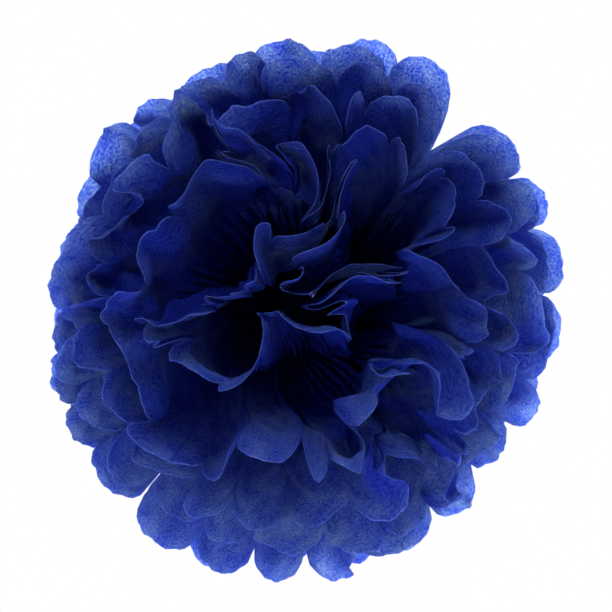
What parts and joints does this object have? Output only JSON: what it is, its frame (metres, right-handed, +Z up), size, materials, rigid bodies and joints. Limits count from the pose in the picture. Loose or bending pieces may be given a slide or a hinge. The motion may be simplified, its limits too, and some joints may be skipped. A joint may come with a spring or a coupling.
{
  "type": "tissue paper pom pom",
  "caption": "Hanging party ball of pleated tissue paper sheets with round-cut ends, wired at the waist and fluffed into petals.",
  "frame": {"origin": "middle of the waist, where the wire binds the stacked sheets and the ball hangs from", "axes": "+Z up as it hangs, -Y out of the front of the ball, +X to the right as seen from the front"},
  "size_m": [0.2453, 0.2505, 0.2556],
  "materials": {
    "tissue_paper": "matte, slightly translucent, dyed royal blue",
    "wire": "plain drawn wire, dulled"
  },
  "bodies": {
    "root": {"tissue_sheet_01": "tissue_paper", "tissue_sheet_02": "tissue_paper", "tissue_sheet_03": "tissue_paper", "tissue_sheet_04": "tissue_paper", "tissue_sheet_05": "tissue_paper", "tissue_sheet_06": "tissue_paper", "tissue_sheet_07": "tissue_paper", "tissue_sheet_08": "tissue_paper", "tissue_sheet_09": "tissue_paper", "tissue_sheet_10": "tissue_paper", "binding_wire": "wire"}
  },
  "joints": []
}
